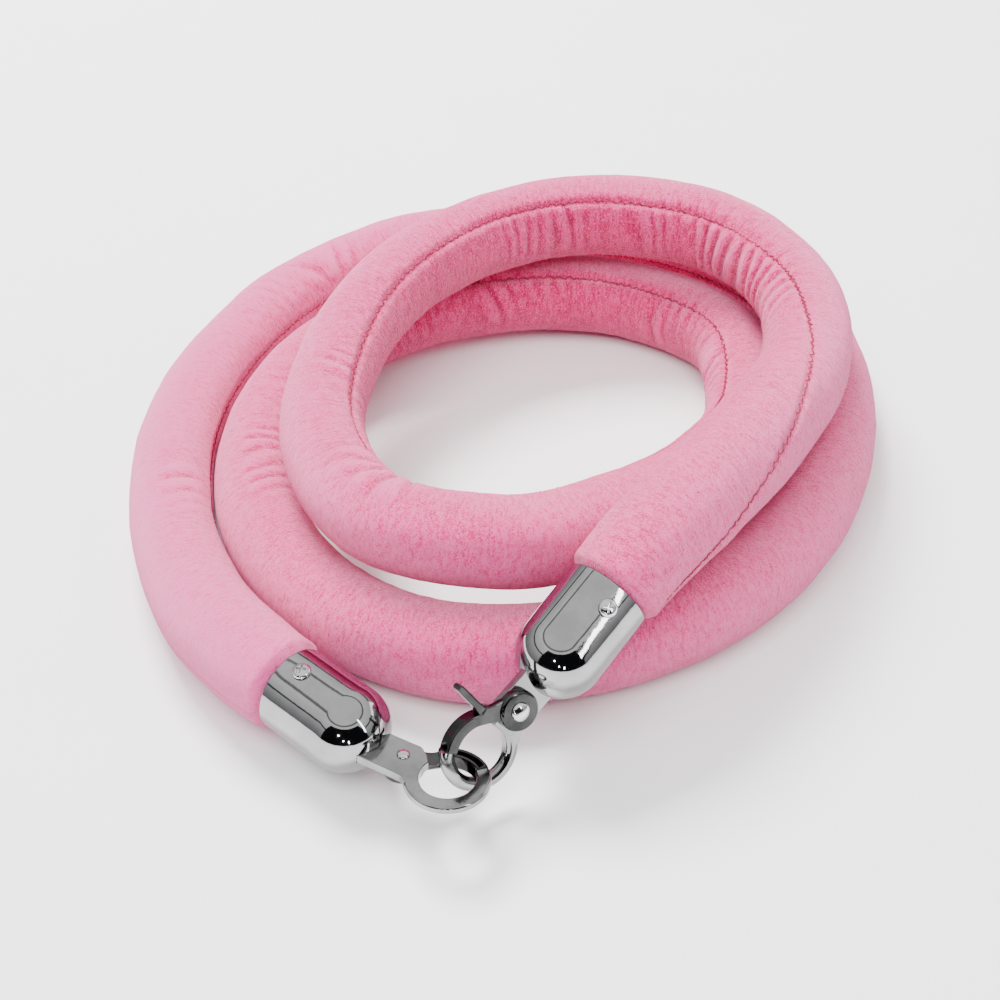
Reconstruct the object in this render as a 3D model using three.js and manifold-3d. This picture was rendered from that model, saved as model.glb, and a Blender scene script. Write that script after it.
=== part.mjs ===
// A velvet barrier rope, laid down in its coil with its two trigger snap hooks closed through each other.
// Millimetres, +Z up. The origin is under the middle of the whole object, on the surface it lies on.

import * as THREE from 'three';
import { mergeVertices } from 'three/addons/utils/BufferGeometryUtils.js';
import Module from 'manifold-3d';

const wasm = await Module();
wasm.setup();

// ---------------------------------------------------------------- driving dimensions

const ROPE_RADIUS = 15;
const SLEEVE_WALL = 1.2;
const ROPE_SIDES = 10;
const ROPE_STEPS = 78;
const GAP = 0.3;

const SEAM_RADIUS = 0.35;
const SEAM_LIFT = 0.75;
const SEAM_INSET = 6;
const SEAM_START_ANGLE = 200;
const SEAM_ANGLE = 50;
const SEAM_SETTLES_AT = 0.11;

const CAP_RADIUS = 14.3;
const CAP_WALL = 1.1;
const CAP_TUBE = 24.5;
const CAP_SIDES = 32;
const RIM_CHAMFER = 0.4;

const CUFF_RADIUS = 12.1;
const CUFF_WALL = 0.9;
const CUFF_DEPTH = 17;
const COLLAR_RADIUS = 15.6;
const COLLAR_DEPTH = 2.2;
const PLUG_RADIUS = 7;
const PLUG_LENGTH = 18;
const PLUG_START = -3;
const BINDING_FROM = 11.5;
const BINDING_TO = 15.5;
const BINDING_GAP = 0.25;

const SCREW_FROM_RIM = 7.8;
const SCREW_HEAD_RADIUS = 3;
const SCREW_HEAD_HEIGHT = 1.7;
const SCREW_RADIUS = 1.4;
const SCREW_LENGTH = 9.5;
const SCREW_POINT = 1.2;
const RECESS_LENGTH = 3.2;
const RECESS_WIDTH = 0.8;
const RECESS_DEPTH = 0.9;
const RECESS_TURN = 0.4;

const PLATE_THICKNESS = 3.2;
const TANG_HALF_WIDTH = 6.8;
const TANG_DEPTH = 8.5;
const PIN_X = -6;
const PIN_RADIUS = 1.5;
const PIN_HALF_LENGTH = 7;
const RING_CENTRE = 25;
const RING_INNER = 8.7;
const RING_OUTER = 13.3;
const RIVET_AT = [8.4, -1];
const RIVET_RADIUS = 1.6;
const RIVET_HEAD_RADIUS = 3.2;
const RIVET_TAIL_RADIUS = 2.1;
const BOSS_RADIUS = 6.6;
const BOSS_TOP = 4.9;
const LEVER_TOP = 3.9;
const LEVER_BOTTOM = PLATE_THICKNESS / 2 + GAP;
const LEVER_SKIRT = -1.3;
const LEVER_SKIN = 1.3;
const LEVER_INNER = 9.6;
const TAB_SIZE = [2.2, 12.6, 3.8];
const TAB_CENTRE = [16, -16.7, 2];
const ARM_START = 122;
const ARM_END = -50;
const LEVER_GAP_ANGLE = 53;
const SPRING_CAVITY_RADIUS = 4.7;
const SPRING_CAVITY_TOP = 3.9;
const SPRING_RADIUS = 3.4;
const SPRING_WIRE = 0.25;
const SPRING_TURNS = 2;

// The rope's route, from the right cap's mouth round to the left cap's mouth, through the middle of the rope.
const ROUTE = [
  [34, -97.6, 46], [42, -88.5, 51], [65, -60, 54], [91, -21, 52], [110, 21, 47], [112, 66, 47],
  [87, 102, 50], [43, 113, 52], [-4, 101, 51], [-40, 68, 49], [-58, 27, 45], [-61, -20, 43],
  [-40, -60, 44], [3, -69, 42], [44, -45, 33], [75, -9, 22], [93, 32, 15], [90, 78, 15],
  [54, 105, 16], [10, 108, 18], [-34, 93, 19], [-69, 63, 18], [-87, 17, 16], [-83, -30, 15],
  [-58, -70, 15], [-19, -92, 15], [31, -89, 15], [71, -69, 15], [103, -34, 15], [121, 7, 15],
  [127, 57, 15], [116, 103, 15], [83, 137, 15], [40, 152, 15], [-10, 153, 15], [-51, 138, 15],
  [-87, 105, 15], [-110, 61, 15], [-119, 17, 15], [-115, -31, 15], [-97, -77, 16], [-76, -103, 18],
  [-65.9, -112, 18.4],
];

// Each end: where its cap's mouth is, which way its cap and hook point, and which way the screw and the
// hook's lever side face.
const ENDS = [
  {
    side: 'right',
    mouth: [34, -97.6, 46],
    capAim: [-0.62, -0.69, -0.37],
    screwFace: [0.26, -0.62, 0.74],
    hookAim: [-0.65, -0.62, -0.44],
    leverFace: [0.49, -0.78, 0.39],
  },
  {
    side: 'left',
    mouth: [-65.9, -112, 18.4],
    capAim: [0.74, -0.67, 0],
    screwFace: [-0.08, -0.1, 0.99],
    hookAim: [0.85, -0.52, 0.04],
    leverFace: [-0.01, -0.1, -0.99],
  },
];

// ---------------------------------------------------------------- materials

const MATERIALS = {
  velvet: new THREE.MeshStandardMaterial({ color: 0xe487a6, roughness: 0.95, metalness: 0 }),
  thread: new THREE.MeshStandardMaterial({ color: 0xc2486f, roughness: 0.8, metalness: 0 }),
  filling: new THREE.MeshStandardMaterial({ color: 0xeee8dc, roughness: 1, metalness: 0 }),
  chrome: new THREE.MeshStandardMaterial({ color: 0xc8c8ca, roughness: 0.08, metalness: 1 }),
  steel: new THREE.MeshStandardMaterial({ color: 0xa9abad, roughness: 0.35, metalness: 1 }),
  wood: new THREE.MeshStandardMaterial({ color: 0xc7a273, roughness: 0.8, metalness: 0 }),
};

// ---------------------------------------------------------------- solids and booleans

function asSolid(geometry) {
  const bare = geometry.clone();
  bare.deleteAttribute('normal');
  bare.deleteAttribute('uv');
  const merged = mergeVertices(bare, 1e-4);
  const corners = merged.index.array;
  const kept = [];
  for (let i = 0; i < corners.length; i += 3) {
    const [a, b, c] = corners.slice(i, i + 3);
    if (a !== b && b !== c && a !== c) kept.push(a, b, c);
  }
  return new wasm.Manifold(new wasm.Mesh({
    numProp: 3,
    vertProperties: new Float32Array(merged.attributes.position.array),
    triVerts: new Uint32Array(kept),
  }));
}

function asGeometry(solid) {
  const mesh = solid.getMesh();
  const geometry = new THREE.BufferGeometry();
  geometry.setAttribute('position', new THREE.BufferAttribute(mesh.vertProperties, 3));
  geometry.setIndex(new THREE.BufferAttribute(mesh.triVerts, 1));
  geometry.computeVertexNormals();
  return geometry;
}

function join(...geometries) {
  return asGeometry(geometries.map(asSolid).reduce((a, b) => a.add(b)));
}

function cut(geometry, ...tools) {
  return asGeometry([geometry, ...tools].map(asSolid).reduce((a, b) => a.subtract(b)));
}

function named(name, material, geometry) {
  const mesh = new THREE.Mesh(geometry, MATERIALS[material]);
  mesh.name = name;
  return mesh;
}

// ---------------------------------------------------------------- frames

// A matrix whose X axis is along `aim` and whose Z axis is as near to `face` as it can be.
function frameAt(origin, aim, face) {
  const x = new THREE.Vector3(...aim).normalize();
  const y = new THREE.Vector3(...face).cross(x).normalize();
  const z = new THREE.Vector3().crossVectors(x, y);
  return new THREE.Matrix4().makeBasis(x, y, z).setPosition(...origin);
}

// ---------------------------------------------------------------- simple shapes along local X

// The profile's points in the order that turns its faces outward, as radius and height.
function outward(profile) {
  const points = profile.map(([along, radius]) => new THREE.Vector2(radius, along));
  return THREE.ShapeUtils.area(points) < 0 ? points.reverse() : points;
}

// A solid of revolution about X from a profile of [x, radius] points.
function turned(profile, sides) {
  return new THREE.LatheGeometry(outward(profile), sides).rotateZ(-Math.PI / 2);
}

// A solid of revolution about Z from a profile of [z, radius] points.
function turnedUp(profile, sides) {
  return new THREE.LatheGeometry(outward(profile), sides).rotateX(Math.PI / 2);
}

function slab(shape, low, high, curveSegments = 8) {
  const options = { depth: high - low, bevelEnabled: false, curveSegments };
  return new THREE.ExtrudeGeometry(shape, options).translate(0, 0, low);
}

function arcPoints(centreX, radius, from, to, count) {
  const points = [];
  for (let i = 0; i <= count; i += 1) {
    const angle = THREE.MathUtils.degToRad(from + ((to - from) * i) / count);
    points.push([centreX + radius * Math.cos(angle), radius * Math.sin(angle)]);
  }
  return points;
}

function outline(points) {
  return new THREE.Shape(points.map(([x, y]) => new THREE.Vector2(x, y)));
}

// ---------------------------------------------------------------- rope

function ropeCurve() {
  return new THREE.CatmullRomCurve3(ROUTE.map((p) => new THREE.Vector3(...p)), false, 'centripetal');
}

function circleShape(radius, sides) {
  const points = [];
  for (let i = 0; i < sides; i += 1) {
    const angle = (2 * Math.PI * i) / sides;
    points.push([radius * Math.cos(angle), radius * Math.sin(angle)]);
  }
  return outline(points);
}

// The stretch of the rope's curve that starts and ends this far inside its two ends.
function ropeStretch(inset) {
  const curve = ropeCurve();
  const length = curve.getLength();
  const points = [];
  for (let i = 0; i <= ROPE_STEPS; i += 1) {
    const along = inset + ((length - 2 * inset) * i) / ROPE_STEPS;
    points.push(curve.getPointAt(along / length));
  }
  return new THREE.CatmullRomCurve3(points, false, 'centripetal');
}

function sleeveStretch() {
  return ropeStretch(GAP);
}

// What is cut from each end of a tube so that it stops square, this far short of its cap's mouth.
function endTrims(short) {
  return ENDS.map((end) => {
    const radius = 1.5 * ROPE_RADIUS;
    const block = turned([[-short, 0], [-short, radius], [8, radius], [8, 0]], 16);
    return block.applyMatrix4(capFrame(end));
  });
}

function sweep(shape, path, steps) {
  return new THREE.ExtrudeGeometry(shape, { steps, bevelEnabled: false, extrudePath: path });
}

function sleeveGeometry() {
  const section = circleShape(ROPE_RADIUS, ROPE_SIDES);
  section.holes.push(circleShape(ROPE_RADIUS - SLEEVE_WALL, ROPE_SIDES));
  const tube = sweep(section, sleeveStretch(), ROPE_STEPS);
  const cuffs = ENDS.map((end) => {
    const inner = CUFF_RADIUS - CUFF_WALL;
    const cuff = turned([
      [-GAP - COLLAR_DEPTH, inner], [CUFF_DEPTH, inner], [CUFF_DEPTH, CUFF_RADIUS],
      [-GAP, CUFF_RADIUS], [-GAP, COLLAR_RADIUS], [-GAP - COLLAR_DEPTH, COLLAR_RADIUS],
      [-GAP - COLLAR_DEPTH, inner],
    ], CAP_SIDES);
    return cuff.applyMatrix4(capFrame(end));
  });
  const sleeve = join(cut(tube, ...endTrims(GAP + COLLAR_DEPTH / 2)), ...cuffs);
  return cut(sleeve, ...ENDS.map(screwRoom));
}

function coreGeometry() {
  const radius = ROPE_RADIUS - SLEEVE_WALL - GAP;
  const tube = sweep(circleShape(radius, ROPE_SIDES), sleeveStretch(), ROPE_STEPS);
  const endRadius = CUFF_RADIUS - CUFF_WALL - GAP;
  const ends = ENDS.map((end) => turned([
    [-8, 0], [-8, endRadius], [CUFF_DEPTH - 1, endRadius], [CUFF_DEPTH - 1, 0],
  ], CAP_SIDES).applyMatrix4(capFrame(end)));
  const room = ENDS.flatMap((end) => {
    const plugRoom = turned([
      [PLUG_START - GAP, 0], [PLUG_START - GAP, PLUG_RADIUS + GAP],
      [CUFF_DEPTH, PLUG_RADIUS + GAP], [CUFF_DEPTH, 0],
    ], 16);
    return [plugRoom.applyMatrix4(capFrame(end)), screwRoom(end)];
  });
  return cut(join(cut(tube, ...endTrims(2 * GAP + COLLAR_DEPTH)), ...ends), ...room);
}

// The seam thread lies on the sleeve, on the inner upper side of the coil.
function seamGeometry() {
  const curve = ropeStretch(SEAM_INSET);
  const points = [];
  const lift = ROPE_RADIUS + SEAM_LIFT;
  const up = new THREE.Vector3(0, 0, 1);
  for (let i = 0; i <= ROPE_STEPS; i += 1) {
    const centre = curve.getPoint(i / ROPE_STEPS);
    const ahead = curve.getTangent(i / ROPE_STEPS);
    const inward = new THREE.Vector3().crossVectors(up, ahead).normalize();
    const above = new THREE.Vector3().crossVectors(ahead, inward);
    const angle = THREE.MathUtils.degToRad(seamAngle(i / ROPE_STEPS));
    centre.addScaledVector(inward, lift * Math.cos(angle));
    points.push(centre.addScaledVector(above, lift * Math.sin(angle)));
  }
  const path = new THREE.CatmullRomCurve3(points, false, 'centripetal');
  return sweep(circleShape(SEAM_RADIUS, 4), path, ROPE_STEPS);
}

// Degrees above the coil's inward direction; the rope is twisted a little at its right end.
function seamAngle(t) {
  const settled = Math.min(1, t / SEAM_SETTLES_AT);
  return THREE.MathUtils.lerp(SEAM_START_ANGLE, SEAM_ANGLE, settled);
}

// ---------------------------------------------------------------- caps and what is in them

function capFrame(end) {
  return frameAt(end.mouth, end.capAim, end.screwFace);
}

// The hole drilled right through an end for its two opposite screws.
function screwRoom(end) {
  const reach = CAP_RADIUS + 2;
  const radius = SCREW_RADIUS + GAP;
  const room = turnedUp([[-reach, 0], [-reach, radius], [reach, radius], [reach, 0]], 12);
  return room.translate(SCREW_FROM_RIM, 0, 0).applyMatrix4(capFrame(end));
}

function domeArc(radius, from, to, count) {
  return arcPoints(CAP_TUBE, radius, from, to, count).map(([x, y]) => [x, Math.max(0, y)]);
}

function capGeometry(end) {
  const inner = CAP_RADIUS - CAP_WALL;
  const shell = turned([
    ...domeArc(inner, 0, 90, 5), [0, inner], [0, CAP_RADIUS - RIM_CHAMFER], [RIM_CHAMFER, CAP_RADIUS],
    ...domeArc(CAP_RADIUS, 90, 0, 7),
  ], CAP_SIDES);
  const slot = slab(tangOutline(GAP), -PLATE_THICKNESS / 2 - GAP, PLATE_THICKNESS / 2 + GAP);
  const toCap = capFrame(end).invert();
  slot.applyMatrix4(toCap.clone().multiply(hookFrame(end)));
  return cut(shell, slot, screwRoom(end).applyMatrix4(toCap));
}

function plugGeometry(end) {
  const plug = turned([
    [PLUG_START, 0], [PLUG_START, PLUG_RADIUS],
    [PLUG_START + PLUG_LENGTH, PLUG_RADIUS], [PLUG_START + PLUG_LENGTH, 0],
  ], 16);
  return cut(plug, screwRoom(end).applyMatrix4(capFrame(end).invert()));
}

// A band of wire whipping that grips the sleeve's cuff inside the cap.
function bindingGeometry() {
  const low = CUFF_RADIUS + BINDING_GAP;
  const high = CAP_RADIUS - CAP_WALL - BINDING_GAP;
  return turned([
    [BINDING_FROM, low], [BINDING_TO, low], [BINDING_TO, high], [BINDING_FROM, high], [BINDING_FROM, low],
  ], CAP_SIDES);
}

function screwGeometry(turn) {
  const head = CAP_RADIUS + GAP;
  const screw = turnedUp([
    [head - SCREW_LENGTH, 0], [head - SCREW_LENGTH + SCREW_POINT, SCREW_RADIUS], [head, SCREW_RADIUS],
    [head, SCREW_HEAD_RADIUS], [head + 0.6, SCREW_HEAD_RADIUS],
    [head + 1.3, SCREW_HEAD_RADIUS * 0.72], [head + SCREW_HEAD_HEIGHT, 0],
  ], 16);
  const recess = [0, Math.PI / 2].map((across) => {
    const bar = new THREE.BoxGeometry(RECESS_LENGTH, RECESS_WIDTH, 2 * RECESS_DEPTH);
    return bar.rotateZ(across + RECESS_TURN).translate(0, 0, head + SCREW_HEAD_HEIGHT);
  });
  return cut(screw, ...recess).rotateX(turn).translate(SCREW_FROM_RIM, 0, 0);
}

// ---------------------------------------------------------------- snap hooks

function hookFrame(end) {
  const tip = new THREE.Vector3(...end.capAim).normalize().multiplyScalar(CAP_TUBE + CAP_RADIUS);
  return frameAt(tip.add(new THREE.Vector3(...end.mouth)).toArray(), end.hookAim, end.leverFace);
}

function tangOutline(clearance) {
  const half = TANG_HALF_WIDTH + clearance;
  return outline([[-TANG_DEPTH - clearance, -half], [2, -half], [2, half], [-TANG_DEPTH - clearance, half]]);
}

function rivetHole(low, high) {
  const hole = turnedUp([[low, 0], [low, RIVET_RADIUS + 0.1], [high, RIVET_RADIUS + 0.1], [high, 0]], 16);
  return hole.translate(...RIVET_AT, 0);
}

// The fixed arm of the ring: flat at the back and rounded at the front.
function ringArmGeometry() {
  const back = -PLATE_THICKNESS / 2;
  const front = PLATE_THICKNESS / 2;
  const middle = (RING_INNER + RING_OUTER) / 2;
  const ring = turnedUp([
    [back, RING_INNER + 0.5], [back, RING_OUTER - 0.5], [back + 0.5, RING_OUTER], [0.2, RING_OUTER],
    [front - 0.5, RING_OUTER - 0.7], [front, middle + 0.6], [front, middle - 0.6],
    [front - 0.5, RING_INNER + 0.7], [0.2, RING_INNER], [back + 0.5, RING_INNER], [back, RING_INNER + 0.5],
  ], 48).translate(RING_CENTRE, 0, 0);
  const open = outline([[RING_CENTRE, 0], ...arcPoints(RING_CENTRE, 30, ARM_START, 360 + ARM_END, 12)]);
  return cut(ring, slab(open, -4, 4));
}

function hookBodyGeometry() {
  const half = PLATE_THICKNESS / 2;
  const points = [
    [-TANG_DEPTH, -TANG_HALF_WIDTH], [10.6, -TANG_HALF_WIDTH], [12.4, -6.3], [14.6, -4.7],
    ...arcPoints(RING_CENTRE, RING_INNER, 194, ARM_START, 6),
    ...arcPoints(RING_CENTRE, RING_OUTER, ARM_START, ARM_START + 12, 2),
    [14.8, 8.4], [9, TANG_HALF_WIDTH], [-TANG_DEPTH, TANG_HALF_WIDTH],
  ];
  const bevel = 0.5;
  const plate = new THREE.ExtrudeGeometry(outline(points), {
    depth: PLATE_THICKNESS - 2 * bevel,
    bevelEnabled: true,
    bevelThickness: bevel,
    bevelSize: bevel,
    bevelOffset: -bevel,
    bevelSegments: 1,
  }).translate(0, 0, -half + bevel);
  const pinRadius = PIN_RADIUS + GAP;
  const pinRoom = turnedUp([[-3, 0], [-3, pinRadius], [3, pinRadius], [3, 0]], 12).translate(PIN_X, 0, 0);
  return cut(join(plate, ringArmGeometry()), rivetHole(-3, 3), pinRoom);
}

function leverGeometry() {
  const [pivotX, pivotY] = RIVET_AT;
  const outer = arcPoints(RING_CENTRE, RING_OUTER, -126, -LEVER_GAP_ANGLE, 8);
  const inner = arcPoints(RING_CENTRE, LEVER_INNER, -LEVER_GAP_ANGLE, -116, 8);
  const top = outline([
    [pivotX, pivotY - 6], [11, -8.8], [13, -9.6], [14.8, -11.4], ...outer, ...inner,
    [17.6, -6.2], [14.2, -3.4], [pivotX + 3, pivotY],
  ]);
  const boss = turnedUp([
    [LEVER_BOTTOM, 0], [LEVER_BOTTOM, BOSS_RADIUS], [BOSS_TOP - 0.5, BOSS_RADIUS],
    [BOSS_TOP, BOSS_RADIUS - 0.5], [BOSS_TOP, 0],
  ], 28).translate(pivotX, pivotY, 0);
  const skirt = outline([
    ...arcPoints(RING_CENTRE, RING_OUTER, -126, -LEVER_GAP_ANGLE, 8),
    ...arcPoints(RING_CENTRE, LEVER_INNER, -LEVER_GAP_ANGLE, -122, 8),
  ]);
  const pocket = outline([
    ...arcPoints(RING_CENTRE, RING_OUTER - 1.1, -121, -LEVER_GAP_ANGLE - 6, 6),
    ...arcPoints(RING_CENTRE, RING_INNER + 2, -LEVER_GAP_ANGLE - 6, -118, 6),
  ]);
  const tab = new THREE.BoxGeometry(...TAB_SIZE).translate(...TAB_CENTRE);
  const cavity = turnedUp([
    [0, 0], [0, SPRING_CAVITY_RADIUS], [SPRING_CAVITY_TOP, SPRING_CAVITY_RADIUS], [SPRING_CAVITY_TOP, 0],
  ], 20).translate(pivotX, pivotY, 0);
  const face = slab(top, LEVER_BOTTOM, LEVER_TOP);
  const whole = join(face, boss, slab(skirt, LEVER_SKIRT, LEVER_TOP - 0.5), tab);
  return cut(whole, slab(pocket, LEVER_SKIRT - 1, LEVER_TOP - LEVER_SKIN), cavity, rivetHole(0, 6));
}

function rivetGeometry() {
  const head = BOSS_TOP + GAP;
  const tail = -PLATE_THICKNESS / 2 - GAP;
  const rivet = turnedUp([
    [tail - 0.9, 0], [tail - 0.6, RIVET_TAIL_RADIUS * 0.8], [tail, RIVET_TAIL_RADIUS],
    [tail, RIVET_RADIUS], [head, RIVET_RADIUS], [head, RIVET_HEAD_RADIUS],
    [head + 0.6, RIVET_HEAD_RADIUS * 0.9], [head + 1.1, RIVET_HEAD_RADIUS * 0.55], [head + 1.3, 0],
  ], 16);
  return rivet.translate(...RIVET_AT, 0);
}

class SpringCoil extends THREE.Curve {
  getPoint(t, target = new THREE.Vector3()) {
    const angle = 2 * Math.PI * SPRING_TURNS * t;
    const low = LEVER_BOTTOM + SPRING_WIRE + 0.1;
    const high = SPRING_CAVITY_TOP - SPRING_WIRE - 0.1;
    return target.set(
      RIVET_AT[0] + SPRING_RADIUS * Math.cos(angle),
      RIVET_AT[1] + SPRING_RADIUS * Math.sin(angle),
      low + (high - low) * t,
    );
  }
}

function springGeometry() {
  return sweep(circleShape(SPRING_WIRE, 5), new SpringCoil(), 36);
}

function tangPinGeometry() {
  const reach = PIN_HALF_LENGTH;
  const pin = turnedUp([[-reach, 0], [-reach, PIN_RADIUS], [reach, PIN_RADIUS], [reach, 0]], 12);
  return pin.translate(PIN_X, 0, 0);
}

// ---------------------------------------------------------------- the object

const rope = new THREE.Group();
rope.add(named('velvet_sleeve', 'velvet', sleeveGeometry()));
rope.add(named('rope_core', 'filling', coreGeometry()));
rope.add(named('seam_thread', 'thread', seamGeometry()));

for (const end of ENDS) {
  const cap = new THREE.Group();
  cap.applyMatrix4(capFrame(end));
  cap.add(named(`end_cap_${end.side}`, 'chrome', capGeometry(end)));
  cap.add(named(`cap_screw_${end.side}_1`, 'chrome', screwGeometry(0)));
  cap.add(named(`cap_screw_${end.side}_2`, 'chrome', screwGeometry(Math.PI)));
  cap.add(named(`end_plug_${end.side}`, 'wood', plugGeometry(end)));
  cap.add(named(`cuff_binding_${end.side}`, 'steel', bindingGeometry()));
  rope.add(cap);

  const hook = new THREE.Group();
  hook.applyMatrix4(hookFrame(end));
  hook.add(named(`hook_body_${end.side}`, 'chrome', hookBodyGeometry()));
  hook.add(named(`trigger_lever_${end.side}`, 'chrome', leverGeometry()));
  hook.add(named(`lever_rivet_${end.side}`, 'chrome', rivetGeometry()));
  hook.add(named(`lever_spring_${end.side}`, 'steel', springGeometry()));
  hook.add(named(`tang_pin_${end.side}`, 'steel', tangPinGeometry()));
  rope.add(hook);
}

// The origin goes under the middle of the object's box.
const box = new THREE.Box3().setFromObject(rope, true);
const middle = box.getCenter(new THREE.Vector3());
rope.position.set(-middle.x, -middle.y, -box.min.z);

export default rope;
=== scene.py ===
"""A pink velvet barrier rope with chrome caps and snap hooks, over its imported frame. Metres, +Z up."""

import math

import bmesh
import bpy
import numpy as np
from mathutils import Matrix, Vector


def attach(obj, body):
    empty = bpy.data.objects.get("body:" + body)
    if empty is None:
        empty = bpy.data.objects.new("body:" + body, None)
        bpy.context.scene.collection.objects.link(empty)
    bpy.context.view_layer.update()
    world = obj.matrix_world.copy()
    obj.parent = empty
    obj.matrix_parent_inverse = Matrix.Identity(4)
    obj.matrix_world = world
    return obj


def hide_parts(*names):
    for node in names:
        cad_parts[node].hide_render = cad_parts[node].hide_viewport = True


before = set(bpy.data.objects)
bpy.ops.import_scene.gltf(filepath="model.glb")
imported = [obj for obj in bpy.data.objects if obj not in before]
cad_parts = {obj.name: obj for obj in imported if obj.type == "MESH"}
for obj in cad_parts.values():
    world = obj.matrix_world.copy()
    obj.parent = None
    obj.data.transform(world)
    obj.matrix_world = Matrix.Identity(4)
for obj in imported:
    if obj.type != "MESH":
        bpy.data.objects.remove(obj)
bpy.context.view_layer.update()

MM = 0.001

# ---------------------------------------------------------------- driving dimensions

MEAN_RADIUS = 0.0152
CORE_ROOM = 0.0139
RING_STEP = 0.0012
RING_SIDES = 128

# The rope's route in millimetres, from the right cap's mouth to the left cap's mouth, as in the CAD source.
ROUTE = [
    (34, -97.6, 46), (42, -88.5, 51), (65, -60, 54), (91, -21, 52), (110, 21, 47), (112, 66, 47),
    (87, 102, 50), (43, 113, 52), (-4, 101, 51), (-40, 68, 49), (-58, 27, 45), (-61, -20, 43),
    (-40, -60, 44), (3, -69, 42), (44, -45, 33), (75, -9, 22), (93, 32, 15), (90, 78, 15),
    (54, 105, 16), (10, 108, 18), (-34, 93, 19), (-69, 63, 18), (-87, 17, 16), (-83, -30, 15),
    (-58, -70, 15), (-19, -92, 15), (31, -89, 15), (71, -69, 15), (103, -34, 15), (121, 7, 15),
    (127, 57, 15), (116, 103, 15), (83, 137, 15), (40, 152, 15), (-10, 153, 15), (-51, 138, 15),
    (-87, 105, 15), (-110, 61, 15), (-119, 17, 15), (-115, -31, 15), (-97, -77, 16), (-76, -103, 18),
    (-65.9, -112, 18.4),
]
ROUTE_SHIFT = (-4.119, -2.472, -0.032)

# How thick the rope is drawn: distance along it in metres, and radius in millimetres.
THICKNESS = [
    (0.0, 15.6), (0.012, 16.4), (0.05, 17.4), (0.1, 16.9), (0.15, 16.1), (0.3, 15.7), (0.4, 15.1),
    (0.47, 14.8), (0.6, 15.8), (0.7, 15.6), (0.9, 15.1), (1.05, 15.7), (1.14, 16.4), (1.25, 16.0),
    (1.35, 15.2), (1.5, 14.4), (1.7, 14.2), (1.8, 14.9), (1.85, 16.2), (1.88, 16.2), (1.89, 15.4),
]

# Where the seam lies: distance along the rope in metres, and degrees up from the coil's inner side.
SEAM = [
    (0.0, 200), (0.035, 188), (0.07, 158), (0.10, 128), (0.14, 92), (0.19, 60), (0.24, 46),
    (0.31, 55), (0.40, 50), (0.48, 42), (0.60, 45), (0.72, 54), (0.84, 58), (0.95, 56),
    (1.05, 20), (1.20, 15), (1.5, 10), (1.89, 5),
]

# Each end's own axes, as in the CAD source: where the cap's mouth is and which way its pieces face.
ENDS = {
    "right": {
        "mouth": (34, -97.6, 46),
        "cap_aim": (-0.62, -0.69, -0.37),
        "screw_face": (0.26, -0.62, 0.74),
        "hook_aim": (-0.65, -0.62, -0.44),
        "lever_face": (0.49, -0.78, 0.39),
    },
    "left": {
        "mouth": (-65.9, -112, 18.4),
        "cap_aim": (0.74, -0.67, 0),
        "screw_face": (-0.08, -0.1, 0.99),
        "hook_aim": (0.85, -0.52, 0.04),
        "lever_face": (-0.01, -0.1, -0.99),
    },
}
CAP_RADIUS = 14.3 * MM
CAP_WALL = 1.1 * MM
CAP_TUBE = 24.5 * MM
SCREW_FROM_RIM = 7.8 * MM

CAMERA_LENS = 66.62
CAMERA_SENSOR = 36
CAMERA_PLACE = (-0.00412, -0.51837, 0.44827)
CAMERA_TILT = 49.015

scene = bpy.context.scene
rng = np.random.default_rng(11)


# ---------------------------------------------------------------- camera

def add_camera():
    data = bpy.data.cameras.new("camera")
    data.lens = CAMERA_LENS
    data.sensor_width = CAMERA_SENSOR
    camera = bpy.data.objects.new("camera", data)
    camera.location = CAMERA_PLACE
    camera.rotation_euler = (math.radians(CAMERA_TILT), 0, 0)
    scene.collection.objects.link(camera)
    scene.camera = camera


add_camera()


# ---------------------------------------------------------------- the rope's line

def catmull_rom(points, per_span):
    """Points along a centripetal Catmull-Rom curve through the given ones."""
    pts = np.array(points, float)
    first = 2 * pts[0] - pts[1]
    last = 2 * pts[-1] - pts[-2]
    pts = np.vstack([first, pts, last])
    out = []
    for i in range(1, len(pts) - 2):
        p0, p1, p2, p3 = pts[i - 1 : i + 3]
        t1 = np.linalg.norm(p1 - p0) ** 0.5
        t2 = t1 + np.linalg.norm(p2 - p1) ** 0.5
        t3 = t2 + np.linalg.norm(p3 - p2) ** 0.5
        t = np.linspace(t1, t2, per_span, endpoint=False)[:, None]
        a1 = (t1 - t) / t1 * p0 + t / t1 * p1
        a2 = (t2 - t) / (t2 - t1) * p1 + (t - t1) / (t2 - t1) * p2
        a3 = (t3 - t) / (t3 - t2) * p2 + (t - t2) / (t3 - t2) * p3
        b1 = (t2 - t) / t2 * a1 + t / t2 * a2
        b2 = (t3 - t) / (t3 - t1) * a2 + (t - t1) / (t3 - t1) * a3
        out.append((t2 - t) / (t2 - t1) * b1 + (t - t1) / (t2 - t1) * b2)
    out.append(pts[-2][None])
    return np.vstack(out)


def evenly(points, step):
    """The same line with points one step apart, and how far along it each one is."""
    gaps = np.linalg.norm(np.diff(points, axis=0), axis=1)
    along = np.concatenate([[0], np.cumsum(gaps)])
    count = int(round(along[-1] / step))
    at = np.linspace(0, along[-1], count + 1)
    even = np.stack([np.interp(at, along, points[:, k]) for k in range(3)], axis=1)
    return even, at


def smooth(values, width):
    """The values averaged over this many neighbours on each side, weighted towards the middle."""
    kernel = np.hanning(2 * width + 3)[1:-1]
    kernel /= kernel.sum()
    padded = np.concatenate([np.full(width, values[0]), values, np.full(width, values[-1])])
    return np.convolve(padded, kernel, "valid")


def interp_smooth(at, table, width):
    """The table's value at each place, with its corners smoothed."""
    xs, ys = zip(*table)
    return smooth(np.interp(at, xs, ys), width)


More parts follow.
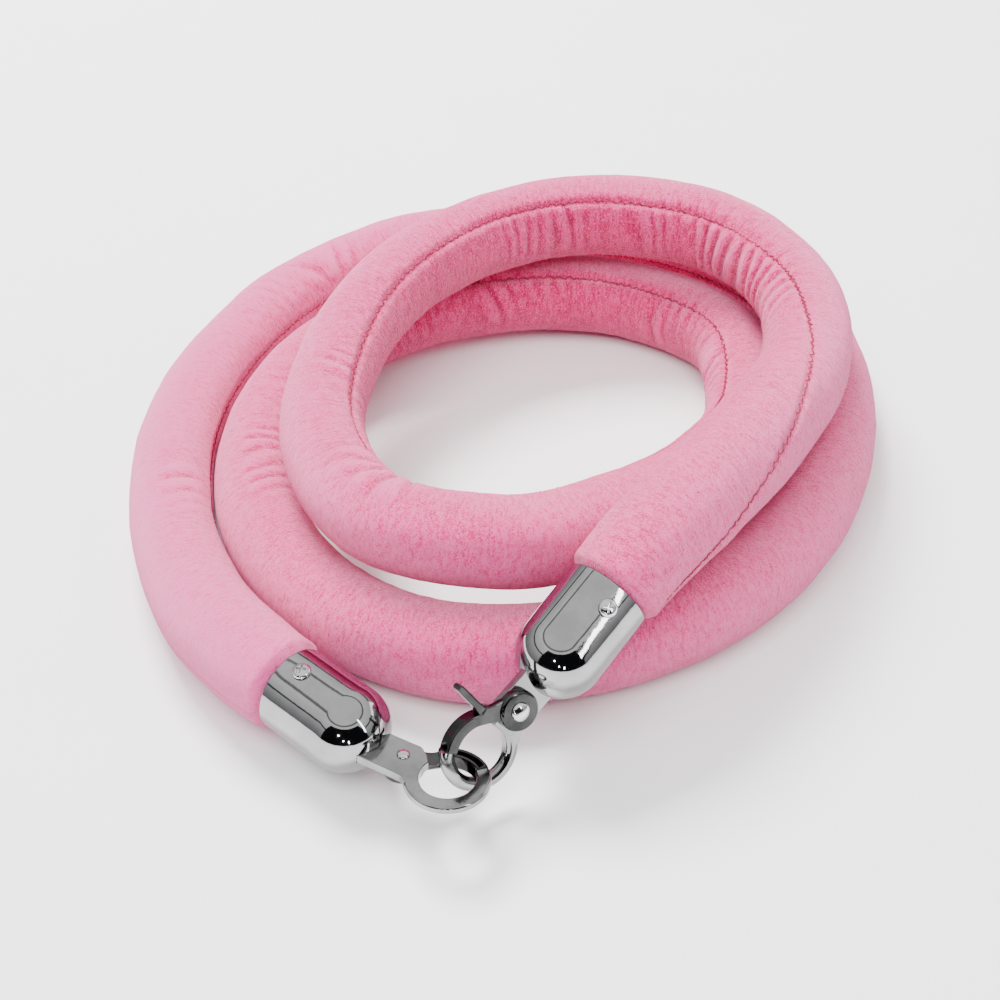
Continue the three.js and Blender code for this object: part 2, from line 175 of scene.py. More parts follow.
shifted = (np.array(ROUTE, float) + np.array(ROUTE_SHIFT)) * MM
line, along = evenly(catmull_rom(shifted, 60), RING_STEP)
forward = np.gradient(line, axis=0)
forward /= np.linalg.norm(forward, axis=1)[:, None]
inward = np.cross((0, 0, 1), forward)
inward /= np.linalg.norm(inward, axis=1)[:, None]
above = np.cross(forward, inward)
turning = np.gradient(forward, axis=0) / RING_STEP
bend = smooth(np.einsum("ij,ij->i", turning, inward), 12)
seam_angle = np.radians(interp_smooth(along, SEAM, 30))


SAME_TURN = 0.07
MOST_RADIUS = 0.02
PRESSED_IN = 0.0003


def room_beside():
    """For each ring, half the distance to the nearest other turn of the rope."""
    every = 6
    gap = np.linalg.norm(line[:, None] - line[::every][None], axis=2)
    apart = np.abs(along[:, None] - along[::every][None])
    gap[apart < SAME_TURN] = 1
    return np.minimum(gap.min(axis=1) / 2, MOST_RADIUS)


radius = interp_smooth(along, THICKNESS, 15) * MM
radius = smooth(np.minimum(radius, room_beside() + PRESSED_IN), 10)


# ---------------------------------------------------------------- smooth noise

def noise_grid(rows, columns, seed):
    return np.random.default_rng(seed).uniform(-1, 1, (rows, columns))


def ripple_noise(s, a, s_size, a_count, seed):
    """Smooth noise over distance s and angle a that closes round the rope, with a_count cells to a turn."""
    rows = int(np.ceil(s.max() / s_size)) + 3
    grid = noise_grid(rows, a_count, seed)
    u = s / s_size
    v = (a / (2 * np.pi)) % 1 * a_count
    iu, iv = np.floor(u).astype(int), np.floor(v).astype(int)
    fu, fv = u - iu, v - iv
    fu = fu * fu * (3 - 2 * fu)
    fv = fv * fv * (3 - 2 * fv)
    jv = (iv + 1) % a_count
    iv = iv % a_count
    low = grid[iu, iv] * (1 - fv) + grid[iu, jv] * fv
    high = grid[iu + 1, iv] * (1 - fv) + grid[iu + 1, jv] * fv
    return low * (1 - fu) + high * fu


def smoothstep(low, high, x):
    t = np.clip((x - low) / (high - low), 0, 1)
    return t * t * (3 - 2 * t)


# ---------------------------------------------------------------- velvet rope

# Places where the cloth is bunched up: distance along, turn around (0 is the inner side), half
# length along, half angle around, strength.
PUCKERS = [
    (0.200, 0.30, 0.060, 1.0, 0.5),
    (0.300, 0.30, 0.060, 0.8, 0.4),
    (0.455, 1.25, 0.030, 0.8, 0.8),
    (0.505, 1.30, 0.040, 0.9, 1.0),
    (0.755, 0.35, 0.070, 1.0, 0.8),
    (0.860, 0.40, 0.050, 0.8, 0.5),
    (0.950, 1.70, 0.030, 0.7, 0.9),
    (1.018, 1.20, 0.030, 0.8, 1.1),
    (1.300, 0.60, 0.050, 0.9, 0.8),
    (1.640, 1.25, 0.035, 0.8, 1.0),
    (1.785, 1.15, 0.022, 0.8, 1.1),
]


def wrapped(angle):
    """The same angle between minus half a turn and half a turn."""
    return (angle + np.pi) % (2 * np.pi) - np.pi


def puckered(s, turn):
    """How strongly the cloth is bunched up at each point."""
    total = np.zeros_like(s)
    for at, around, half_length, half_angle, strength in PUCKERS:
        lengthways = 1 - smoothstep(0.35, 1.0, np.abs(s - at) / half_length)
        sideways = 1 - smoothstep(0.45, 1.0, np.abs(wrapped(turn - around)) / half_angle)
        total += strength * lengthways * sideways
    return total


GROOVE_DEPTH = 0.0008
GROOVE_HALF_WIDTH = 0.0011
LIP_HEIGHT = 0.00025
LIP_FROM_SEAM = 0.003
LIP_HALF_WIDTH = 0.0015
FOLD_SPACING = 0.0072
GATHER_HEIGHT = 0.0009
PUCKER_HEIGHT = 0.0014
FULL_FOLD = 0.0004


def rope_relief(s, turn, curve, seam):
    """How far the velvet stands out from the plain tube, and how much of that is gathers and creases."""
    below = wrapped(seam - turn)
    across = np.abs(below) * MEAN_RADIUS
    groove = -GROOVE_DEPTH * np.exp(-((across / GROOVE_HALF_WIDTH) ** 2))
    groove += LIP_HEIGHT * np.exp(-(((across - LIP_FROM_SEAM) / LIP_HALF_WIDTH) ** 2))
    tight = 0.25 + 0.75 * smoothstep(7.0, 15.0, curve)
    spread = smoothstep(0.02, 0.22, below) * (1 - smoothstep(1.0, 2.5, below))
    spread += 0.35 * smoothstep(0.02, 0.15, -below) * (1 - smoothstep(0.3, 0.8, -below))
    slant = 0.006 * ripple_noise(s, turn, 0.030, 3, 3) + 0.0032 * ripple_noise(s, turn, 0.012, 4, 31)
    lean = 0.004 * below * ripple_noise(s, turn * 0, 0.02, 4, 4)
    phase = np.pi * (s + slant + lean) / FOLD_SPACING
    uneven = smoothstep(-0.45, 0.75, ripple_noise(s, turn, 0.013, 5, 5))
    folds = (np.abs(np.sin(phase)) ** 0.8 - 0.65) * (0.15 + 1.1 * uneven)
    bunched = puckered(s, turn) * (0.3 + 0.7 * smoothstep(0.0, 0.2, np.abs(below)))
    gathers = (GATHER_HEIGHT * tight * spread + PUCKER_HEIGHT * bunched) * folds
    slow = 0.0004 * ripple_noise(s, turn, 0.03, 5, 6) + 0.00022 * ripple_noise(s, turn, 0.011, 9, 7)
    rough = 0.00007 * ripple_noise(s, turn, 0.0028, 34, 8)
    return groove + gathers + slow + rough, np.clip(gathers / FULL_FOLD, -1.5, 1.2)


def mesh_object(name, vertices, faces, attributes=None, smooth_faces=True):
    mesh = bpy.data.meshes.new(name)
    mesh.from_pydata(vertices, [], faces)
    for key, values in (attributes or {}).items():
        layer = mesh.attributes.new(key, "FLOAT", "POINT")
        layer.data.foreach_set("value", values.astype(np.float32))
    mesh.polygons.foreach_set("use_smooth", [smooth_faces] * len(mesh.polygons))
    mesh.update()
    obj = bpy.data.objects.new(name, mesh)
    scene.collection.objects.link(obj)
    return obj


def tube_faces(rings, sides):
    faces = []
    for i in range(rings - 1):
        for j in range(sides):
            k = (j + 1) % sides
            faces.append((i * sides + j, i * sides + k, (i + 1) * sides + k, (i + 1) * sides + j))
    return faces


TUCK_DEPTH = 0.0035
ON_THE_FLOOR = 0.0001


def build_rope():
    rings, sides = len(line), RING_SIDES
    angles = np.arange(sides) * 2 * np.pi / sides
    s = np.repeat(along, sides)
    turn = np.tile(angles, rings)
    curve = np.repeat(bend, sides)
    seam = np.repeat(seam_angle, sides)
    ends = np.minimum(s, along[-1] - s)
    relief, fold = rope_relief(s, turn, curve, seam)
    relief = relief * smoothstep(0.0, 0.008, ends)
    tuck = TUCK_DEPTH * (1 - smoothstep(0.0003, 0.0045, ends)) ** 2
    reach = np.maximum(np.repeat(radius, sides) + relief, CORE_ROOM) - tuck
    side = np.cos(turn)[:, None] * np.repeat(inward, sides, axis=0)
    side += np.sin(turn)[:, None] * np.repeat(above, sides, axis=0)
    points = np.repeat(line, sides, axis=0) + side * reach[:, None]
    points[:, 2] = np.maximum(points[:, 2], ON_THE_FLOOR)
    faces = tube_faces(rings, sides)
    faces.append(tuple(range(sides))[::-1])
    faces.append(tuple(range((rings - 1) * sides, rings * sides)))
    # fold, turned_in and height also set painted shade, painted highlights and painted top light in the
    # velvet's colour.
    attributes = {
        "along": s,
        "from_seam": wrapped(seam - turn) * MEAN_RADIUS,
        "fold": fold,
        "turned_in": np.cos(turn),
        "height": np.sin(turn),
    }
    return mesh_object("velvet_rope", points, faces, attributes)


rope = build_rope()


# ---------------------------------------------------------------- stitches

def surface_point(s, offset, lift):
    """A point on the velvet at distance s, offset metres beside the seam and lifted off the surface."""
    i = np.clip(s / RING_STEP, 0, len(line) - 1.001)
    k = int(i)
    f = i - k
    centre = line[k] * (1 - f) + line[k + 1] * f
    reach = radius[k] * (1 - f) + radius[k + 1] * f
    turn = seam_angle[k] * (1 - f) + seam_angle[k + 1] * f + offset / reach
    side = math.cos(turn) * inward[k] + math.sin(turn) * above[k]
    return Vector(centre + side * (reach + lift))


THREAD_RADIUS = 0.00026
SEAM_INSET = 0.009
STRAND_SIDES = 6


def build_stitches():
    """Short slanted stitches across the seam's groove, uneven as a hand-closed seam is."""
    vertices, faces = [], []
    s = SEAM_INSET
    slant = 1
    while s < along[-1] - SEAM_INSET:
        step = rng.uniform(0.0011, 0.0026)
        wide = rng.uniform(0.0002, 0.0009)
        start = (s, -slant * wide + rng.normal(0, 0.00015), -0.0005)
        middle = (s + step * 0.5, rng.normal(0, 0.0002), -0.00035 + rng.uniform(0, 0.0002))
        stop = (s + step * rng.uniform(0.85, 1.2), slant * wide + rng.normal(0, 0.00015), -0.0005)
        stitch = [surface_point(*p) for p in (start, middle, stop)]
        add_thread(vertices, faces, stitch, THREAD_RADIUS)
        if rng.random() < 0.35:
            loop_end = (s + step * rng.uniform(0.1, 0.6), slant * wide * 0.4, -0.0002)
            loop = [surface_point(*start), surface_point(*loop_end)]
            add_thread(vertices, faces, loop, THREAD_RADIUS * 0.9)
        slant = -slant
        s += step
    return mesh_object("seam_stitches", vertices, faces)


def add_thread(vertices, faces, points, size):
    """A thin strand through the points, closed at both ends."""
    base = len(vertices)
    sides = STRAND_SIDES
    for i, p in enumerate(points):
        ahead = points[min(i + 1, len(points) - 1)] - points[max(i - 1, 0)]
        ahead.normalize()
        across = ahead.orthogonal().normalized()
        over = ahead.cross(across)
        fat = size if 0 < i < len(points) - 1 or len(points) == 2 else size * 0.7
        for j in range(sides):
            a = j * 2 * math.pi / sides
            vertices.append(p + fat * (math.cos(a) * across + math.sin(a) * over))
    for face in tube_faces(len(points), sides):
        faces.append([base + corner for corner in face])
    last = base + (len(points) - 1) * sides
    faces.append([base + j for j in range(sides)][::-1])
    faces.append([last + j for j in range(sides)])


stitches = build_stitches()


# ---------------------------------------------------------------- frames of the ends

def axes_at(origin, aim, face):
    """A matrix with X along aim and Z as near face as it can be, at an origin in metres."""
    x = Vector(aim).normalized()
    y = Vector(face).cross(x).normalized()
    z = x.cross(y)
    return Matrix.Translation(origin) @ Matrix((x, y, z)).transposed().to_4x4()


def cap_axes(end):
    origin = (Vector(end["mouth"]) + Vector(ROUTE_SHIFT)) * MM
    return axes_at(origin, end["cap_aim"], end["screw_face"])


def hook_axes(end):
    tip = cap_axes(end) @ Vector((CAP_TUBE + CAP_RADIUS, 0, 0))
    return axes_at(tip, end["hook_aim"], end["lever_face"])


# ---------------------------------------------------------------- turned pieces

def lathe(name, profile, sides):
    """A closed solid of revolution about X; its profile's points are [x, radius], outer side first."""
    vertices, faces = [], []
    rows = []
    for x, r in profile:
        if r < 1e-7:
            rows.append([len(vertices)])
            vertices.append((x, 0, 0))
        else:
            rows.append(list(range(len(vertices), len(vertices) + sides)))
            for j in range(sides):
                a = 2 * math.pi * j / sides
                vertices.append((x, r * math.cos(a), r * math.sin(a)))
    for low, high in zip(rows, rows[1:]):
        if len(low) == len(high) == 1:
            continue
        for j in range(sides):
            k = (j + 1) % sides
            if len(low) == 1:
                faces.append((low[0], high[k], high[j]))
            elif len(high) == 1:
                faces.append((low[j], low[k], high[0]))
            else:
                faces.append((low[j], low[k], high[k], high[j]))
    return outward(mesh_object(name, vertices, faces))


def outward(obj):
    """Turns every face outward and joins points that coincide."""
    shape = bmesh.new()
    shape.from_mesh(obj.data)
    bmesh.ops.remove_doubles(shape, verts=shape.verts, dist=1e-7)
    bmesh.ops.recalc_face_normals(shape, faces=shape.faces)
    shape.to_mesh(obj.data)
    shape.free()
    return obj


def arc(cx, cy, r, start, stop, count):
    """Points on an arc, in degrees."""
    return [
        (cx + r * math.cos(math.radians(a)), cy + r * math.sin(math.radians(a)))
        for a in np.linspace(start, stop, count)
    ]


def boxed(name, low, high):
    """A plain box from corner to corner, for cutting."""
    (x0, y0, z0), (x1, y1, z1) = low, high
    vertices = [(x, y, z) for x in (x0, x1) for y in (y0, y1) for z in (z0, z1)]
    faces = [(0, 1, 3, 2), (4, 6, 7, 5), (0, 4, 5, 1), (2, 3, 7, 6), (0, 2, 6, 4), (1, 5, 7, 3)]
    return mesh_object(name, vertices, faces, smooth_faces=False)


def extruded(name, points, low, high, bevel=0.0, segments=3):
    """A flat plate with this outline between two heights, its long edges rounded over."""
    count = len(points)
    pairs = list(zip(points, points[1:] + points[:1]))
    area = sum(a[0] * b[1] - b[0] * a[1] for a, b in pairs)
    if area < 0:
        points = points[::-1]
    vertices = [(x, y, low) for x, y in points] + [(x, y, high) for x, y in points]
    faces = [tuple(range(count))[::-1], tuple(range(count, 2 * count))]
    for i in range(count):
        k = (i + 1) % count
        faces.append((i, k, count + k, count + i))
    obj = mesh_object(name, vertices, faces)
    if bevel:
        edges = obj.modifiers.new("bevel", "BEVEL")
        edges.width = bevel
        edges.segments = segments
        edges.limit_method = "ANGLE"
        edges.angle_limit = math.radians(45)
        settle(obj)
    return obj


def settle(obj):
    """Replaces the mesh by what its modifiers make of it."""
    shape = bpy.data.meshes.new_from_object(obj.evaluated_get(bpy.context.evaluated_depsgraph_get()))
    obj.modifiers.clear()
    obj.data = shape
    return obj


def carve(obj, cutters):
    """Cuts each of the other pieces out of obj, and removes them."""
    for cutter in cutters:
        cut = obj.modifiers.new("cut", "BOOLEAN")
        cut.operation = "DIFFERENCE"
        cut.solver = "EXACT"
        cut.object = cutter
    settle(obj)
    for cutter in cutters:
        bpy.data.objects.remove(cutter)
    return obj


def merged(name, parts):
    """One piece made of several closed shells."""
    shape = bmesh.new()
    for part in parts:
        shape.from_mesh(part.data)
        bpy.data.objects.remove(part)
    mesh = bpy.data.meshes.new(name)
    shape.to_mesh(mesh)
    shape.free()
    obj = bpy.data.objects.new(name, mesh)
    scene.collection.objects.link(obj)
    return obj


CREASE_DEGREES = 40


def crisp(obj):
    """Smooth faces with sharp creases at turns over CREASE_DEGREES, and evened normals."""
    obj.data.polygons.foreach_set("use_smooth", [True] * len(obj.data.polygons))
    obj.data.set_sharp_from_angle(angle=math.radians(CREASE_DEGREES))
    even = obj.modifiers.new("normals", "WEIGHTED_NORMAL")
    even.keep_sharp = True
    return obj


def scaled(points):
    """Millimetres to metres."""
    return [(x * MM, y * MM) for x, y in points]


# ---------------------------------------------------------------- caps, screws

SLOT_HALF_WIDE = 6.95 * MM
SLOT_HALF_HIGH = 1.75 * MM
CROSS_HALF_LONG = 1.7 * MM
CROSS_HALF_WIDE = 0.33 * MM
CROSS_FLOOR = 0.75 * MM
CROSS_TURN = 0.5
UNDER_HEAD = 0.1 * MM


def build_cap(side, end):
    inner = CAP_RADIUS - CAP_WALL
    dome = arc(CAP_TUBE, 0, CAP_RADIUS, 90, 0, 22)
    hollow = arc(CAP_TUBE, 0, inner, 0, 90, 12)
    rim = [(0, inner + 0.2 * MM), (0, inner + 0.5 * MM)]
    rim += arc(0.5 * MM, CAP_RADIUS - 0.5 * MM, 0.5 * MM, 180, 90, 4)
    tube = [(x * MM, CAP_RADIUS) for x in (4, 8, 12, 16, 20)]
    profile = rim + tube + dome[:-1] + [(CAP_TUBE + CAP_RADIUS, 0)]
    profile += [(CAP_TUBE + inner, 0)] + hollow[1:] + [(0, inner), (0, inner + 0.2 * MM)]
    cap = lathe(f"cap_{side}", profile, 96)
    low = (-9 * MM, -SLOT_HALF_WIDE, -SLOT_HALF_HIGH)
    high = (4 * MM, SLOT_HALF_WIDE, SLOT_HALF_HIGH)
    slot = boxed("slot", low, high)
    slot.data.transform(cap_axes(end).inverted() @ hook_axes(end))
    carve(cap, [slot])
    cap.data.transform(cap_axes(end))
    crisp(cap)
    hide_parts(f"end_cap_{side}")
    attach(cap, "rope")
    return cap


def build_cap_screw(side, end, number, turn):
    head = CAP_RADIUS + UNDER_HEAD
    shank = [(-4, 0), (-4, 1.4), (0, 1.4)]
    crown = [(0, 3.0), (0.55, 3.0), (0.95, 2.75), (1.35, 2.2), (1.6, 1.4), (1.7, 0.6), (1.72, 0)]
    screw = lathe(f"screw_{side}_{number}", scaled(shank + crown), 40)
    bars = []
    for across in (CROSS_TURN, CROSS_TURN + math.pi / 2):
        low = (CROSS_FLOOR, -CROSS_HALF_LONG, -CROSS_HALF_WIDE)
        bar = boxed("bar", low, (3 * MM, CROSS_HALF_LONG, CROSS_HALF_WIDE))
        bar.data.transform(Matrix.Rotation(across, 4, "X"))
        bars.append(bar)
    carve(screw, bars)
    upright = Matrix.Rotation(-math.pi / 2, 4, "Y")
    place = cap_axes(end) @ Matrix.Translation((SCREW_FROM_RIM, 0, 0)) @ Matrix.Rotation(turn, 4, "X")
    screw.data.transform(place @ Matrix.Translation((0, 0, head)) @ upright)
    crisp(screw)
    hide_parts(f"cap_screw_{side}_{number}")
    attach(screw, "rope")
    return screw


# ---------------------------------------------------------------- snap hooks

RING_CENTRE = 25
RING_INNER = 8.7
RING_OUTER = 13.3
RIVET_AT = (8.4, -1)
PLATE_HALF = 1.6
NECK_HALF = 6.8
ARM_START = 122
ARM_END = -50
LEVER_LOW = 1.9
LEVER_HIGH = 4.0
LEVER_SKIRT = -1.3
WALL_HIGH = LEVER_HIGH - 0.6
LEVER_INNER = 9.6
BOSS_HIGH = 4.9


def standing_at(x, y):
    """Stands a turned piece up along Z at a place on the hook's plate."""
    return Matrix.Translation((x * MM, y * MM, 0)) @ Matrix.Rotation(-math.pi / 2, 4, "Y")


def build_ring_arm():
    """The fixed arm of the ring: flat at the back, rounded at the front, open where the lever closes it."""
    middle = (RING_INNER + RING_OUTER) / 2
    front = [(0.1 + 1.65 * math.sin(t), middle + 2.3 * math.cos(t)) for t in np.linspace(0, math.pi, 15)]
    flat = PLATE_HALF - 0.03
    corner = np.linspace(0, math.pi / 2, 6)
    back = [(0.6 - flat - 0.6 * math.sin(t), RING_INNER + 0.6 - 0.6 * math.cos(t)) for t in corner]
    back += [(1.0 - flat - math.cos(t), RING_OUTER - 1.0 + math.sin(t)) for t in corner]
    ring = lathe("ring", scaled([*front, *back, front[0]]), 120)
    ring.data.transform(standing_at(RING_CENTRE, 0))
    wedge = [(RING_CENTRE, 0)] + arc(RING_CENTRE, 0, 30, ARM_START + 34, 360 + ARM_END, 12)
    return carve(ring, [extruded("wedge", scaled(wedge), -4 * MM, 4 * MM)])


def build_hook_body(side, end):
    points = [(-8.5, -NECK_HALF), (11, -NECK_HALF)] + arc(11, -4.8, 2.0, -90, -40, 4) + [(14.6, -4.7)]
    points += arc(RING_CENTRE, 0, RING_INNER, 196, ARM_START, 20)
    points += arc(RING_CENTRE, 0, RING_OUTER - 1.4, ARM_START, ARM_START + 12, 4)
    points += arc(11.5, 10.8, 4.0, -39, -90, 6) + [(-8.5, NECK_HALF)]
    plate = extruded("plate", scaled(points), -PLATE_HALF * MM, PLATE_HALF * MM, 0.4 * MM, 3)
    body = merged(f"hook_{side}", [plate, build_ring_arm()])
    body.data.transform(hook_axes(end))
    crisp(body)
    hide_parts(f"hook_body_{side}")
    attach(body, "rope")
    return body


def arm_outline(start, stop):
    """A short stretch of the lever's arm, a little inside its walls."""
    outer = arc(RING_CENTRE, 0, RING_OUTER - 0.3, start, stop, 20)
    inner = arc(RING_CENTRE, 0, LEVER_INNER + 0.3, stop, start + 5, 20)
    return outer + inner


def ring_wall(name, inner, outer, start, stop):
    """A thin wall along the lever's side of the ring."""
    points = arc(RING_CENTRE, 0, outer, start, stop, 24)
    points += arc(RING_CENTRE, 0, inner, stop, start, 24)
    return extruded(name, scaled(points), LEVER_SKIRT * MM, WALL_HIGH * MM, 0.3 * MM, 2)


def build_lever(side, end):
    px, py = RIVET_AT
    shoulder = [(px, py - 6), (10.4, -8.3), (12.0, -8.9), (13.4, -9.6), (14.6, -11)]
    web = [(17.6, -6.2), (15.6, -4.2), (13.6, -2.4), (px + 3, py)]
    top = shoulder + arc(RING_CENTRE, 0, RING_OUTER, -128, -53, 24)
    top += arc(RING_CENTRE, 0, LEVER_INNER, -53, -118, 24) + web
    under = shoulder + arc(RING_CENTRE, 0, RING_OUTER, -128, -118, 4) + web
    tab = [(14.7, -10.4), (14.9, -14), (14.9, -22.2), (15.4, -23)]
    tab += [(16.6, -23), (17.1, -22.2), (17.2, -14), (17.8, -10.6)]
    low, high = LEVER_SKIRT * MM, WALL_HIGH * MM
    parts = [
        extruded("skin", scaled(top), (LEVER_HIGH - 1.3) * MM, LEVER_HIGH * MM, 0.55 * MM),
        extruded("under", scaled(under), LEVER_LOW * MM, (LEVER_HIGH - 1.2) * MM),
        ring_wall("outer", RING_OUTER - 1.1, RING_OUTER, -126, -53),
        ring_wall("inner", LEVER_INNER, LEVER_INNER + 1.1, -122, -53),
        extruded("tip", scaled(arm_outline(-60, -53.5)), low, high, 0.2 * MM, 2),
        extruded("heel", scaled(arm_outline(-125, -119)), low, high, 0.2 * MM, 2),
        extruded("tab", scaled(tab), 0.1 * MM, 3.9 * MM, 0.45 * MM),
    ]
    profile = [(LEVER_LOW, 0), (LEVER_LOW, 6.6), (4.0, 6.6), (4.45, 6.45), (4.75, 6.1)]
    profile += [(BOSS_HIGH, 5.6), (BOSS_HIGH, 0)]
    boss = lathe("boss", scaled(profile), 64)
    boss.data.transform(standing_at(px, py))
    lever = merged(f"lever_{side}", [*parts, boss])
    lever.data.transform(hook_axes(end))
    crisp(lever)
    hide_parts(f"trigger_lever_{side}")
    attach(lever, f"lever_{side}")
    return lever


def build_rivet(side, end):
    head = [(BOSS_HIGH, 3.1), (5.2, 3.1), (5.6, 2.85), (5.95, 2.3), (6.2, 1.4), (6.28, 0)]
    tail = [(-2.55, 0), (-2.5, 1.0), (-2.3, 1.7), (-1.95, 2.05), (-1.6, 2.1), (-1.6, 1.5)]
    rivet = lathe(f"rivet_{side}", scaled([*tail, (BOSS_HIGH, 1.5), *head]), 40)
    rivet.data.transform(hook_axes(end) @ standing_at(*RIVET_AT))
    crisp(rivet)
    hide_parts(f"lever_rivet_{side}")
    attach(rivet, "rope")
    return rivet


# ---------------------------------------------------------------- materials

def new_material(name):
    material = bpy.data.materials.new(name)
    material.use_nodes = True
    tree = material.node_tree
    return material, tree, tree.nodes["Principled BSDF"]


def node(tree, kind, inputs=None, **settings):
    made = tree.nodes.new(kind)
    for key, value in settings.items():
        setattr(made, key, value)
    for key, value in (inputs or {}).items():
        if isinstance(value, bpy.types.NodeSocket):
            tree.links.new(value, made.inputs[key])
        else:
            made.inputs[key].default_value = value
    return made


def attribute(tree, name):
    return node(tree, "ShaderNodeAttribute", attribute_name=name).outputs["Fac"]


def noise(tree, vector, scale, detail=2, roughness=0.5):
    inputs = {"Vector": vector, "Scale": scale, "Detail": detail, "Roughness": roughness}
    return node(tree, "ShaderNodeTexNoise", inputs).outputs[0]


def own_place(tree):
    """Each point's place on its own piece."""
    return node(tree, "ShaderNodeTexCoord").outputs["Object"]


def stretched(tree, vector, factors):
    inputs = {0: vector, 1: factors}
    return node(tree, "ShaderNodeVectorMath", inputs, operation="MULTIPLY").outputs[0]


def spread(tree, value, start, stop, low, high):
    """The value's range from start to stop, taken to the range from low to high."""
    return node(tree, "ShaderNodeMapRange", {"Value": value, 1: start, 2: stop, 3: low, 4: high}).outputs[0]


def maths(tree, operation, a, b=0.0, c=0.0):
    return node(tree, "ShaderNodeMath", {0: a, 1: b, 2: c}, operation=operation).outputs[0]


def ramp(tree, value, stops):
    made = node(tree, "ShaderNodeValToRGB", {0: value})
    marks = made.color_ramp.elements
    while len(marks) < len(stops):
        marks.new(0.5)
    for mark, (at, colour) in zip(marks, stops):
        mark.position = at
        mark.color = (*colour, 1)
    return made.outputs[0]


def velvet_material():
    """A streaky velvet with a pale sheen; its colour is deepest in its creases and on the coil's inner side
    as painted shade, with painted highlights on fold ridges and painted top light on its upper side.
    """
    material, tree, shader = new_material("velvet")
    place = own_place(tree)
    along_rope = attribute(tree, "along")
    across = attribute(tree, "from_seam")
    cloth = node(tree, "ShaderNodeCombineXYZ", {0: along_rope, 1: across}).outputs[0]
    nap = noise(tree, place, 2100, 2, 0.8)
    crush = noise(tree, place, 150, 4, 0.6)
    patches = noise(tree, place, 30, 3, 0.5)
    tufts = noise(tree, stretched(tree, cloth, (800, 240, 1)), 1, 2, 0.6)
    mixed = maths(tree, "ADD", spread(tree, along_rope, 1.35, 1.6, 0.0, 0.20), -0.40)
    shares = [
        # painted top light: the rope's upper side is made paler
        (attribute(tree, "height"), 0.05),
        # painted shade: the coil's inner side is made deeper
        (attribute(tree, "turned_in"), -0.14),
        # painted shade in the creases and painted highlight on the fold ridges
        (attribute(tree, "fold"), 0.20),
        (patches, 0.20),
        (crush, 0.20),
        (nap, 1.50),
        (tufts, 1.00),
    ]
    for layer, share in shares:
        mixed = maths(tree, "MULTIPLY_ADD", layer, share, mixed)
    fleck = noise(tree, stretched(tree, cloth, (2400, 900, 1)), 1, 1)
    mixed = maths(tree, "MULTIPLY_ADD", mixed, 0.5, spread(tree, fleck, 0.56, 0.70, 0.0, 0.30))
    # The ramp's colour holds the cloth's own tone together with painted shade, painted highlights and
    # painted top light.
    pile_and_painted_light = ramp(tree, mixed, [
        (0.34, (0.46, 0.007, 0.085)),
        (0.51, (0.84, 0.023, 0.200)),
        (0.68, (0.96, 0.140, 0.400)),
    ])
    tree.links.new(pile_and_painted_light, shader.inputs["Base Color"])
    shader.inputs["Roughness"].default_value = 0.9
    shader.inputs["Specular IOR Level"].default_value = 0.08
    shader.inputs["Sheen Weight"].default_value = 0.75
    shader.inputs["Sheen Roughness"].default_value = 0.30
    shader.inputs["Sheen Tint"].default_value = (1.0, 0.66, 0.80, 1)
    height = maths(tree, "MULTIPLY_ADD", tufts, 0.5, maths(tree, "MULTIPLY", nap, 0.9))
    height = maths(tree, "MULTIPLY_ADD", crush, 0.5, height)
    bump = node(tree, "ShaderNodeBump", {"Height": height, "Strength": 1.0, "Distance": 0.0012})
    tree.links.new(bump.outputs[0], shader.inputs["Normal"])
    return material


def thread_material():
    material, tree, shader = new_material("thread")
    twist = noise(tree, own_place(tree), 900)
    colour = ramp(tree, twist, [(0.3, (0.20, 0.004, 0.02)), (0.7, (0.48, 0.03, 0.10))])
    tree.links.new(colour, shader.inputs["Base Color"])
    shader.inputs["Roughness"].default_value = 0.6
    return material


def metal_material(name, dark, light, rough_low, rough_high, bumps):
    """Plated or bare metal, a little uneven in colour and gloss, with faint waves from its polishing."""
    material, tree, shader = new_material(name)
    place = own_place(tree)
    haze = noise(tree, place, 90, 5, 0.6)
    stops = [(0.35, (dark, dark, dark * 1.02)), (0.65, (light, light, light * 1.01))]
    colour = ramp(tree, haze, stops)
    tree.links.new(colour, shader.inputs["Base Color"])
    shader.inputs["Metallic"].default_value = 1.0
    tree.links.new(spread(tree, haze, 0.3, 0.7, rough_low, rough_high), shader.inputs["Roughness"])
    waves = noise(tree, place, 160, 3)
    bump = node(tree, "ShaderNodeBump", {"Height": waves, "Strength": bumps, "Distance": 0.0002})
    tree.links.new(bump.outputs[0], shader.inputs["Normal"])
    return material


def plain_material(name, low, high, roughness, scale):
    """A matt surface that wanders between two colours."""
    material, tree, shader = new_material(name)
    grain = noise(tree, own_place(tree), scale, 4)
    tree.links.new(ramp(tree, grain, [(0.3, low), (0.7, high)]), shader.inputs["Base Color"])
    shader.inputs["Roughness"].default_value = roughness
    return material


# ---------------------------------------------------------------- floor and light

def add_floor():
    floor = boxed("floor", (-1.6, -1.4, -0.02), (1.6, 1.8, -0.0001))
    dress(floor, plain_material("paper", (0.88, 0.88, 0.88), (0.90, 0.90, 0.90), 0.9, 20))


def add_light(name, size, power, place, aim=(0, 0, 0)):
    data = bpy.data.lights.new(name, "AREA")
    data.shape = "RECTANGLE"
    data.size, data.size_y = size
    data.energy = power
    light = bpy.data.objects.new(name, data)
    light.location = place
    light.rotation_euler = (Vector(aim) - Vector(place)).to_track_quat("-Z", "Y").to_euler()
    scene.collection.objects.link(light)
    return light


